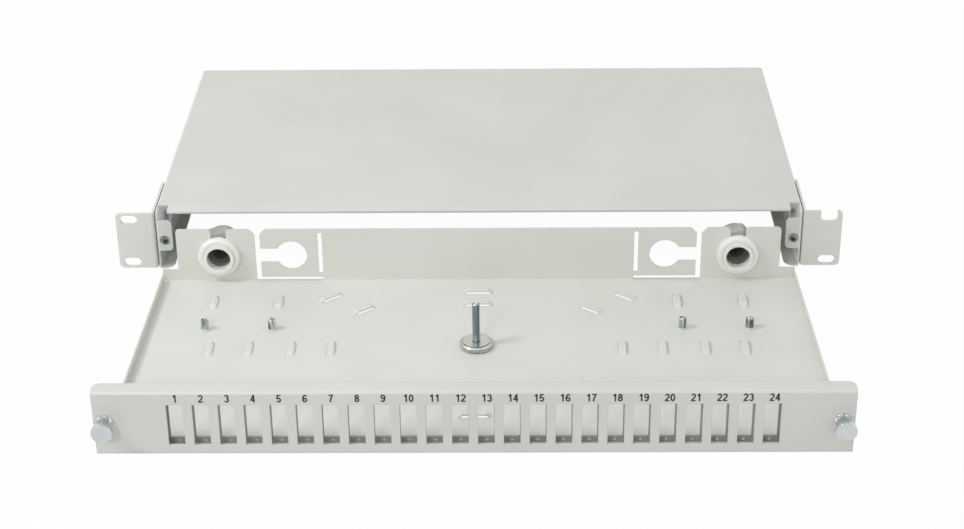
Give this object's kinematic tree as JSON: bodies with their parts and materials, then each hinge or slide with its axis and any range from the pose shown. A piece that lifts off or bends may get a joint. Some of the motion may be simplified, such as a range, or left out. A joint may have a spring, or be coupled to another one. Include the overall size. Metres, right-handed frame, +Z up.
{
  "type": "fiber termination box",
  "caption": "Rack-mount fibre termination box with a pull-out drawer, a slotted adapter front, cable glands and a splice area.",
  "frame": {"origin": "on the surface the box stands on, under the middle of its outline with the drawer drawn out", "axes": "+X right along the rack width, +Y towards the rear of the rack, +Z up; the front panel faces -Y"},
  "size_m": [0.4826, 0.4736, 0.0436],
  "materials": {
    "powder_coat": "fine orange peel, satin",
    "zinc": "zinc plated",
    "polyamide": "satin",
    "seal_rubber": "matte"
  },
  "bodies": {
    "casing": {"casing": "powder_coat", "ear_left": "powder_coat", "ear_right": "powder_coat", "ear_screws_left": "zinc", "ear_screws_right": "zinc", "ear_nuts_left": "zinc", "ear_nuts_right": "zinc", "tab_insert_left": "zinc", "tab_insert_right": "zinc"},
    "drawer": {"tray": "powder_coat", "adapter_plate": "powder_coat", "front_panel": "powder_coat", "cassette_studs": "zinc", "centre_spindle": "zinc", "gland_body_left": "polyamide", "gland_body_right": "polyamide", "gland_locknut_left": "polyamide", "gland_locknut_right": "polyamide", "gland_seal_left": "seal_rubber", "gland_seal_right": "seal_rubber"},
    "dome_nut_left": {"dome_nut_left": "polyamide"},
    "dome_nut_right": {"dome_nut_right": "polyamide"},
    "thumb_retainer_left": {"thumb_retainer_left": "zinc"},
    "thumb_retainer_right": {"thumb_retainer_right": "zinc"},
    "thumbscrew_left": {"thumbscrew_left": "zinc"},
    "thumbscrew_right": {"thumbscrew_right": "zinc"},
    "clamp_nut": {"clamp_nut": "zinc"}
  },
  "joints": [
    {"name": "drawer_slide", "type": "slide", "parent": "casing", "child": "drawer", "axis": [0, 1, 0], "range_m": [0, 0.2136]},
    {"name": "dome_nut_left_turn", "type": "hinge", "parent": "drawer", "child": "dome_nut_left", "pos_m": [-0.1705, -0.0082, 0.021], "axis": [0, 1, 0], "continuous": true},
    {"name": "dome_nut_right_turn", "type": "hinge", "parent": "drawer", "child": "dome_nut_right", "pos_m": [0.1705, -0.0082, 0.021], "axis": [0, 1, 0], "continuous": true},
    {"name": "thumb_left_pull", "type": "slide", "parent": "drawer", "child": "thumb_retainer_left", "axis": [0, -1, 0], "range_m": [0, 0.006]},
    {"name": "thumb_right_pull", "type": "slide", "parent": "drawer", "child": "thumb_retainer_right", "axis": [0, -1, 0], "range_m": [0, 0.006]},
    {"name": "thumb_left_turn", "type": "hinge", "parent": "thumb_retainer_left", "child": "thumbscrew_left", "pos_m": [-0.21, -0.2258, 0.0214], "axis": [0, 1, 0], "continuous": true},
    {"name": "thumb_right_turn", "type": "hinge", "parent": "thumb_retainer_right", "child": "thumbscrew_right", "pos_m": [0.21, -0.2258, 0.0214], "axis": [0, 1, 0], "continuous": true},
    {"name": "clamp_nut_lift", "type": "slide", "parent": "drawer", "child": "clamp_nut", "axis": [0, 0, 1], "range_m": [0, 0.026]}
  ]
}
